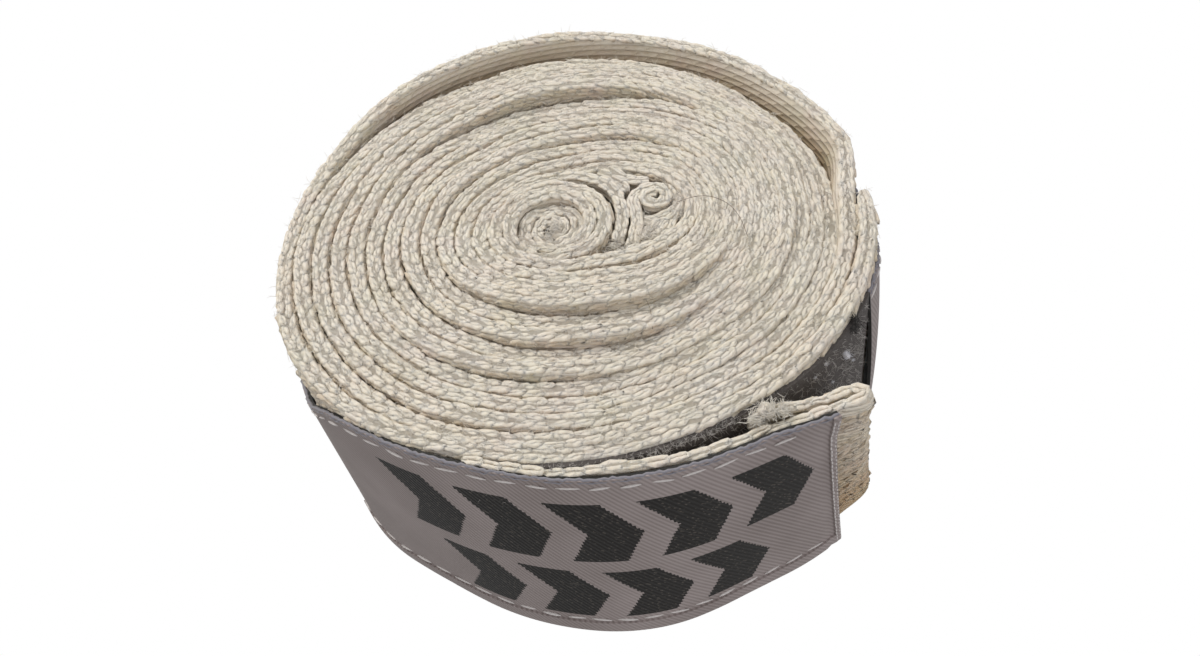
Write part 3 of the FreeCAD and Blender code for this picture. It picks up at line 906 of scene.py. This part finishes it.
# ----- pull tab
# A loop of the same cotton: its front leg lies behind the strap's end, its nose stands past it.
# Knots: (mm past the strap's end, mm outward of its face, half thickness, height of the lower edge).
TAB = ((-54.0, -1.15, 0.20, 3.0), (-46.0, -1.25, 0.30, 3.0), (-40.0, -1.45, 0.50, 3.0),
       (-30.0, -1.95, 0.95, 3.0), (-16.0, -2.0, 1.0, 3.0), (-6.0, -1.95, 0.95, 4.0), (-1.0, -1.85, 0.90, 7.0), (1.2, -1.55, 0.90, 8.3),
       (3.4, -0.85, 0.92, 10.6), (5.0, -0.65, 0.95, 12.3), (5.9, -1.35, 0.95, 13.3), (5.5, -2.45, 0.95, 12.8),
       (3.8, -3.0, 0.92, 11.2), (0.6, -3.6, 0.88, 10.0), (-4.0, -4.3, 0.82, 8.0), (-8.5, -4.55, 0.70, 8.0),
       (-11.0, -4.4, 0.5, 8.0))


def beside_end(a, b, z):
    """Points a mm past the strap's end and b mm outward of its face, leaning as the strap does."""
    t = np.where(a < 0.0, np.interp(end_s + a, fine_s, fine_t), E1)
    nominal = z * STRAP_HIGH / 49.1
    x0, y0 = strap_base(t - 0.4, nominal)
    x1, y1 = strap_base(t + 0.4, nominal)
    size = np.hypot(x1 - x0, y1 - y0)
    ux, uy = (x1 - x0) / size, (y1 - y0) / size
    px, py = strap_base(t, nominal)
    past = np.maximum(a, 0.0) * (1.0 + 0.34 * (48.0 - z) / 48.0)
    return px + ux * past + uy * b, py + uy * past - ux * b, z


ka, kb, kh, kl = (np.array(c) for c in zip(*TAB))
ks = run_along(ka, kb)
even = np.linspace(0.0, ks[-1], int(ks[-1] / 0.45))
tab = [np.interp(even, ks, c) for c in (ka, kb, kh, kl)]
for c in tab:
    even_out(c, 4)
ta, tb, thick, tab_low = tab
ts = run_along(ta, tb)
tab_top = 48.7 + 0.25 * np.sin(ts * 0.35) + 1.1 * smooth((ta + 14.0) / 12.0) + 0.4 * smooth(ta / 3.0)
# Painted shade: the tab darkens from its top towards its foot over 34 mm.
put("tab_body", ribbon("tab_body", ta, tb, tab_top, tab_low, thick, ts, foot=False, shade_depth=34.0,
                       place=beside_end), TAB_COTTON)
gx2, gy2, gz2 = beside_end(ta, tb, tab_top)
tab_guide = guide_curve("guide tab", gx2, gy2, gz2)
tab_len = run_along(gx2, gy2, gz2)[-1]
TAB_LINK = link(4.4, 1.05, 0.40, 0.4, rings=12)
TAB_PITCH = 2.9
parts = [row(TAB_LINK, tab_guide, COTTON_LOOPS, int((tab_len - 1.0) / TAB_PITCH), TAB_PITCH, 1.0, 0.0, -0.2,
             wobble=0.16, seed=301)]
parts += side_rows(tab_guide, tab_len - 14.0, tab_len, (-1.5, -3.1), 0.75, seed=321)
put("tab_loops", joined("tab_loops", parts, 0.05), COTTON_LOOPS)
# Rows of loops round the tab's nose, each on its own line because the nose leans outward to its foot.
parts = []
for n, level in enumerate(np.arange(3.4, 37.5, 1.4)):
    rx, ry, rz = beside_end(ta, tb, tab_top - level)
    guide = guide_curve("guide tab row", rx, ry, rz)
    size = run_along(rx, ry, rz)
    first, last = float(size[np.argmax(ta > 2.0)]), float(size[np.argmax((ta > 0.0) & (tb < -2.7))])
    count = max(2, int((last - first) / LINK_PITCH) + 1)
    parts.append(row(SIDE_LINK, guide, TAB_COTTON, count, LINK_PITCH, first + (n % 2) * LINK_PITCH * 0.5,
                     0.70, roll=90.0, wobble=0.12, seed=500 + n))
    bpy.data.objects.remove(guide)
nose = joined("tab_rows", parts, 0.07)
# Painted shade: the nose gets darker towards its foot, as the tab body does.
tint = np.empty(len(nose.vertices))
nose.attributes["shade"].data.foreach_get("value", tint)
height = np.array([v.co.z for v in nose.vertices]) / MM
nose.attributes["shade"].data.foreach_set("value", tint * np.clip((height - 8.0) / 20.0, 0.15, 1.15))
put("tab_rows", nose, TAB_COTTON)

# ----- thumb loop
def even_path(px, py, gap=0.5, passes=5):
    """Evenly spaced, smoothed copy of a path, and its length at each point."""
    s = run_along(px, py)
    grid = np.linspace(0.0, s[-1], int(s[-1] / gap) + 1)
    ax, ay = np.interp(grid, s, px), np.interp(grid, s, py)
    even_out(ax, passes)
    even_out(ay, passes)
    return ax, ay, grid


def strip(name, px, py, top0, top1, low, half, seed):
    """A narrow knitted strip on edge, with its chain of loops along the top."""
    ax, ay, s = even_path(np.asarray(px, float), np.asarray(py, float))
    high = np.interp(s, [0.0, s[-1]], [top0, top1]) + 0.15 * np.sin(s * 0.9 + seed)
    body = ribbon(name, ax, ay, high, low, half, s, shade_depth=7.0)
    guide = guide_curve("guide strip", ax, ay, high)
    loops = chain(guide, 0.0, run_along(ax, ay, high)[-1], small=True, height=-0.25, seed=seed)
    bpy.data.objects.remove(guide)
    return body, loops, float(s[-1])


curl_a = np.radians(np.linspace(165.0, -330.0, 70))
curl_r = np.linspace(3.1, 0.95, 70)
leg_x = np.concatenate([[8.9, 10.2, 10.9, 11.0, 10.9], 14.5 + curl_r * np.cos(curl_a)])
leg_y = np.concatenate([[-10.4, -7.4, -4.6, -2.0, 0.0], -0.4 + curl_r * np.sin(curl_a)])
loop_body, loop_chain, LOOP_LENGTH = strip("thumb_loop_body", leg_x, leg_y, 48.5, 49.6, 22.0, 0.82, 401)
put("thumb_loop_body", loop_body, COTTON_BAND)
# The strip's other folds, pressed between the coil, the curl and the first wide turn.
FOLDS = (((-0.5, 8.7), (2.5, 8.3), (5.2, 7.0), (7.2, 5.0), (8.5, 2.6), (8.9, 0.0), (8.8, -3.0), (8.2, -6.0),
          (7.0, -8.8)),
         ((6.4, 8.3), (8.6, 6.6), (9.9, 4.6), (10.3, 2.4)),
         ((8.6, 8.0), (10.4, 6.0), (12.2, 4.9), (14.6, 4.4)),
         ((8.4, -11.5), (11.5, -10.4), (14.2, -8.9), (16.2, -6.6), (17.0, -4.0)),
         ((10.8, -8.7), (13.0, -7.3), (15.2, -5.5)),
         ((11.9, -4.5), (13.4, -5.2), (15.4, -5.0), (17.4, -3.8), (18.6, -1.8), (18.9, 1.0), (18.2, 3.4)),
         ((5.6, -7.6), (6.6, -9.4), (7.6, -11.2)),
         ((-3.6, -3.3), (-2.9, -3.0), (-2.2, -2.7)))
folds, loops, FOLD_LENGTH = [], loop_chain, 0.0
for n, knots in enumerate(FOLDS):
    body, extra, size = strip("fold", [p[0] for p in knots], [p[1] for p in knots], 49.3 - 0.15 * n,
                              48.9 - 0.1 * n, 26.0, 0.95, 421 + 7 * n)
    FOLD_LENGTH += size
    folds.append(body)
    loops = loops + extra
put("thumb_loop_fold", joined("thumb_loop_fold", folds), COTTON_BAND)
put("thumb_loop_chain", joined("thumb_loop_chain", loops, 0.05), COTTON_LOOPS)

# ----- frayed ends, lint and stray hairs
def fibres(name, clumps, thick, bends=4, sides=3):
    """Tangles of fine fibres.  Each clump: (x, y, z, radius, count, mean length, rise)."""
    dice = np.random.default_rng(sum(ord(c) for c in name))
    points, faces = [], []
    for cx, cy, cz, spread, count, mean, rise in clumps:
        for _ in range(count):
            spot = np.array([cx, cy, cz]) + dice.normal(0.0, 0.45, 3) * [spread, spread, spread * 0.5]
            heading = dice.normal(0.0, 1.0, 3) * [1.0, 1.0, 0.45] + [0.0, 0.0, rise]
            heading /= np.linalg.norm(heading)
            curl = dice.normal(0.0, 0.55, 3)
            step = mean * dice.uniform(0.5, 1.5) / bends
            spot = spot - heading * step * bends / 2.0
            start = len(points)
            for i in range(bends + 1):
                side = np.cross(heading, [0.3, 0.5, 0.81])
                side /= np.linalg.norm(side)
                other = np.cross(heading, side)
                r = thick * (0.4 if i in (0, bends) else 1.0)
                for k in range(sides):
                    a = 2.0 * math.pi * k / sides
                    points.append(spot + (side * math.cos(a) + other * math.sin(a)) * r)
                spot = spot + heading * step
                heading = heading + curl * 0.35 + dice.normal(0.0, 0.12, 3)
                heading /= np.linalg.norm(heading)
            for i in range(bends):
                for k in range(sides):
                    n = (k + 1) % sides
                    a, b = start + i * sides, start + (i + 1) * sides
                    faces.append([a + k, a + n, b + n, b + k])
            faces.append([start + k for k in range(sides)][::-1])
            faces.append([start + bends * sides + k for k in range(sides)])
    return mesh_from(name, np.array(points), faces)


def on_roll(deg, r, z):
    """Point from a direction, a radius and a height."""
    return r * math.cos(math.radians(deg)), r * math.sin(math.radians(deg)), z


def felt_spot(deg, z):
    """Point on the felt's face."""
    px, py, pz = on_band(np.array([last_lap(deg)]), np.array([float(z)]), np.array([0.6]))
    return float(px[0]), float(py[0]), float(pz[0])


dice = np.random.default_rng(5)
fuzz = []
for t in np.interp(dice.uniform(at_turn(1.0), total, 4200), slope, dense):
    bx, by, bz = band_line(np.array([t]))
    fuzz.append((bx[0] + dice.uniform(-1.2, 1.2), by[0] + dice.uniform(-1.2, 1.2), bz[0] + 0.25,
                 0.5, 2, 1.7, 0.15))
put("cotton_fuzz", fibres("cotton_fuzz", fuzz, 0.035, bends=3), COTTON_LOOPS)


def tuft(name, spots, material=COTTON_LOOPS, hairs=70):
    """Soft lump of frayed cotton: rounded wads with fine fibres over them."""
    wads = []
    for n, (x0, y0, z0, size) in enumerate(spots):
        rings, around = 9, 12
        lat, lon = np.meshgrid(np.linspace(0.08, math.pi - 0.08, rings),
                               np.linspace(0.0, 2.0 * math.pi, around, endpoint=False), indexing="ij")
        lumps = 0.16 * np.sin(3.0 * lon + n) * np.sin(2.0 * lat + n) + 0.10 * np.sin(5.0 * lon - 4.0 * lat)
        r = size * (1.0 + lumps)
        points = np.stack([x0 + r * np.sin(lat) * np.cos(lon), y0 + r * np.sin(lat) * np.sin(lon),
                           z0 - 0.75 * r * np.cos(lat)], -1)
        # Painted shade: each wad is painted lighter on top and darker underneath.
        shade = 0.72 + 0.28 * np.clip(-np.cos(lat) + 0.4, 0.0, 1.0)
        wads.append(ring_sweep("wad", points, np.stack([lat * 2.0, lon], -1), shade))
    clumps = [(x0, y0, z0 + 0.3 * size, size * 1.3, hairs, 2.0 * size, 0.0) for x0, y0, z0, size in spots]
    wads.append(fibres(name, clumps, 0.05))
    put(name, joined(name, wads), material)


# Tufts of frayed cotton round the thumb loop: (x, y, z, size).
FRAYS = ((-2.8, -3.1, 48.5, 0.8), (-4.0, -4.6, 48.3, 0.7), (9.3, 5.3, 48.0, 0.8), (18.0, -4.4, 47.9, 0.9),
         (11.9, -3.3, 47.9, 0.7), (6.3, -9.4, 48.2, 0.9), (19.0, -1.8, 48.0, 1.0), (11.6, -8.9, 48.5, 1.0),
         (13.2, -9.1, 48.4, 1.0), (12.4, -7.5, 48.2, 1.1), (9.2, -9.6, 47.6, 1.1), (7.6, -10.6, 47.4, 0.9),
         (14.6, -5.0, 47.3, 1.1), (16.6, -3.4, 47.4, 1.0), (17.5, -0.8, 47.6, 0.9), (17.0, 2.6, 47.6, 0.9),
         (12.4, -5.4, 47.4, 1.0))
tuft("thumb_loop_fray", FRAYS)
lx, ly, lz = beside_end(np.array([-8.8, -10.6, -7.0]), np.array([-4.3, -3.9, -3.6]),
                        np.array([49.3, 48.9, 49.2]))
tuft("tab_fray", list(zip(lx, ly, lz + np.array([0.7, 0.5, 0.6]), (1.25, 0.9, 0.9))))
hairs = [on_roll(247.0 + 1.3 * n, 49.5, 48.4) + (0.6, 20, 1.1, 0.6) for n in range(60)]
hairs += [felt_spot(dice.uniform(246.0, 324.0), dice.uniform(2.0, 48.0)) + (0.8, 4, 1.3, 0.0)
          for _ in range(1900)]
put("felt_nap", fibres("felt_nap", hairs, 0.034, bends=3), FELT_HAIR)
specks = [(316.4, 43.4, 0.62), (317.0, 42.4, 0.45), (316.0, 44.3, 0.4), (310.2, 46.9, 0.26),
          (312.5, 40.5, 0.2), (319.5, 39.0, 0.22), (307.5, 46.0, 0.2)]
tuft("felt_lint", [felt_spot(a, z0) + (size,) for a, z0, size in specks], LINT, hairs=26)
tufts = [on_roll(318.5, 51.4, 49.3) + (0.5, 26, 2.6, 0.5), on_roll(317.8, 51.6, 48.3) + (0.4, 16, 2.2, 0.3),
         on_roll(217.5, 49.6, 47.2) + (0.35, 22, 1.8, 0.3)]
put("dark_tufts", fibres("dark_tufts", tufts, 0.06), DARK_THREAD)


def stray_hair(name, spots, thick=0.05):
    """One long loose hair through some points."""
    spots = np.array(spots)
    fine = np.linspace(0, len(spots) - 1, 40)
    path = np.stack([np.interp(fine, np.arange(len(spots)), spots[:, i]) for i in range(3)], 1)
    even_out(path, 10)
    nx, ny = sideways(path[:, 0], path[:, 1])
    rings = [np.stack([path[:, 0] + nx * thick * math.cos(a), path[:, 1] + ny * thick * math.cos(a),
                       path[:, 2] + thick * math.sin(a)], 1) for a in (0.0, 2.1, 4.2)]
    rings = np.stack(rings, 1)
    return ring_sweep(name, rings, np.zeros(rings.shape[:2] + (2,)), np.ones(rings.shape[:2]))


parts = [stray_hair("h", [(17.9, -4.2, 50.6), (20.9, -4.2, 51.2), (23.3, -4.9, 51.4), (25.8, -7.2, 51.3),
                          (27.0, -10.4, 51.0), (27.2, -14.8, 50.6)]),
         stray_hair("h", [(9.0, -23.8, 51.4), (9.4, -26.7, 51.8), (9.1, -30.2, 51.2)], 0.045)]
put("stray_hairs", joined("stray_hairs", parts), STRAY_HAIR)


# ----- who stands for what
def settle(name, body, slot, *nodes):
    """Ties a piece to its body and hides the nodes that it stands for; slot is not used."""
    piece = bpy.data.objects[name]
    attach(piece, body)
    if nodes:
        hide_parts(*nodes)
    return piece


settle("wound_band", "roll", "cotton_band", "knitted_band")
for name in ("band_top_chain", "band_outer_rows", "band_inner_rows", "band_ledge_rows", "band_bottom_chain"):
    settle(name, "roll", "cotton_band")

settle("loop_felt", "roll", "loop_felt", "loop_tape", "loop_tape_stitching")
settle("thumb_loop_body", "roll", "cotton_band", "thumb_loop", "thumb_loop_bartack")
settle("thumb_loop_chain", "roll", "cotton_band")
settle("thumb_loop_fold", "roll", "cotton_band")
for name in ("cotton_fuzz", "thumb_loop_fray", "stray_hairs"):
    settle(name, "roll", "cotton_band")
for name in ("felt_nap", "felt_lint", "dark_tufts"):
    settle(name, "roll", "loop_felt")
for name in ("tab_body", "tab_loops", "tab_rows", "tab_fray"):
    settle(name, "strap_tip", "cotton_band")
settle("strap_root_binding", "roll", "hook_tape")
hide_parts("pull_tab")
# Two directions on each length of strap: (first, last) in degrees; points at them are worked out below but not used.
BENDS = ((-12.0, 18.0), (27.0, 83.0), (92.0, 148.0), (156.0, 193.5), (198.0, 246.0))
for k in range(5):
    points = []
    for deg in BENDS[k]:
        px, py, pz = on_strap(np.array([deg]), np.array([25.0]), np.array([0.0]))
        points.append((px[0] * MM, py[0] * MM, 25.0 * MM))
    stands = {"strap_cloth_%d": ("root_label",) if k == 0 else ("label_%d" % k,),
              "strap_tape_%d": ("root_hem",) if k == 0 else ("hook_tape_%d" % k,),
              "strap_stitches_%d": ("root_stitching",) if k == 0 else ("label_stitching_%d" % k,),
              "strap_edge_%d": ()}
    if k == 4:
        stands["strap_cloth_%d"] += ("label_tip",)
        stands["strap_tape_%d"] += ("hook_tape_tip",)
        stands["strap_stitches_%d"] += ("label_tip_stitching",)
    for pattern, nodes in stands.items():
        piece = bpy.data.objects[pattern % k]
        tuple(points[0])
        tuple(points[1])
        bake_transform(piece)
        if nodes:
            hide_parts(*nodes)
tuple(points[0])
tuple(points[1])
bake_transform(low_hem_piece)
settle("label_end_hem", "strap_tip", "label_cloth")
settle("label_end_stitches", "strap_tip", "pale_thread", "pull_tab_stitching")
settle("strap_hooks", "strap_tip", "hook_tape")

for guide in [o for o in bpy.data.objects if o.name.startswith("guide")]:
    bpy.data.objects.remove(guide)

# ----- floor, light, camera
floor_mesh = bpy.data.meshes.new("floor")
FLOOR_Z = -0.0003
corners = [(x, y, FLOOR_Z) for x, y in ((-3, -3), (3, -3), (3, 3), (-3, 3))]
floor_mesh.from_pydata(corners, [], [(0, 1, 2, 3)])
floor_paint = bpy.data.materials.new("white sheet")
floor_paint.use_nodes = True
floor_tree = floor_paint.node_tree
floor_tree.nodes.clear()
# Even white to the eye, and a duller white as a source of light on the sides.
seen = add(floor_tree, "ShaderNodeLightPath").outputs["Is Camera Ray"]
glow = add(floor_tree, "ShaderNodeMath", {0: seen, 1: 0.55, 2: 0.45}, operation="MULTIPLY_ADD")
light = add(floor_tree, "ShaderNodeEmission", {0: paint("#FFFFFF"), 1: glow.outputs[0]})
add(floor_tree, "ShaderNodeOutputMaterial", {0: light.outputs[0]})
floor = put("floor", floor_mesh, floor_paint)

world = bpy.data.worlds.new("studio")
bpy.context.scene.world = world
world.use_nodes = True
world.node_tree.nodes.clear()
sky = add(world.node_tree, "ShaderNodeBackground", {0: paint("#FFFFFF"), 1: 0.66})
add(world.node_tree, "ShaderNodeOutputWorld", {0: sky.outputs[0]})


def lamp(name, place, target, size, power, colour):
    """Square area light that faces its target."""
    data = bpy.data.lights.new(name, "AREA")
    data.energy = power
    data.size = size
    data.color = paint(colour)[:3]
    made = bpy.data.objects.new(name, data)
    bpy.context.scene.collection.objects.link(made)
    made.location = place
    made.rotation_euler = (Vector(target) - Vector(place)).to_track_quat("-Z", "Y").to_euler()


lamp("window", (-0.35, 0.45, 0.75), (0, 0, 0.03), 0.45, 5.0, "#FFFBF4")
lamp("fill", (0.5, -0.7, 0.5), (0, 0, 0.03), 0.6, 1.6, "#F4F6FF")

# The camera stands in front of the roll and looks down on it, turned slightly about its own line of sight.
CAMERA_TURNS = (38.82525, 6.07121, -8.42785)
CAMERA_PLACE = (0.0, -118.08 * MM, 161.36 * MM)
lens = bpy.data.cameras.new("camera")
lens.sensor_width = 36.0
lens.lens = 28.7007
lens.clip_start = 0.005
camera = bpy.data.objects.new("camera", lens)
bpy.context.scene.collection.objects.link(camera)
turned = Euler([math.radians(angle) for angle in CAMERA_TURNS]).to_matrix().to_4x4()
camera.matrix_world = Matrix.Translation(CAMERA_PLACE) @ turned
bpy.context.scene.camera = camera
bpy.context.scene.view_settings.view_transform = "Standard"
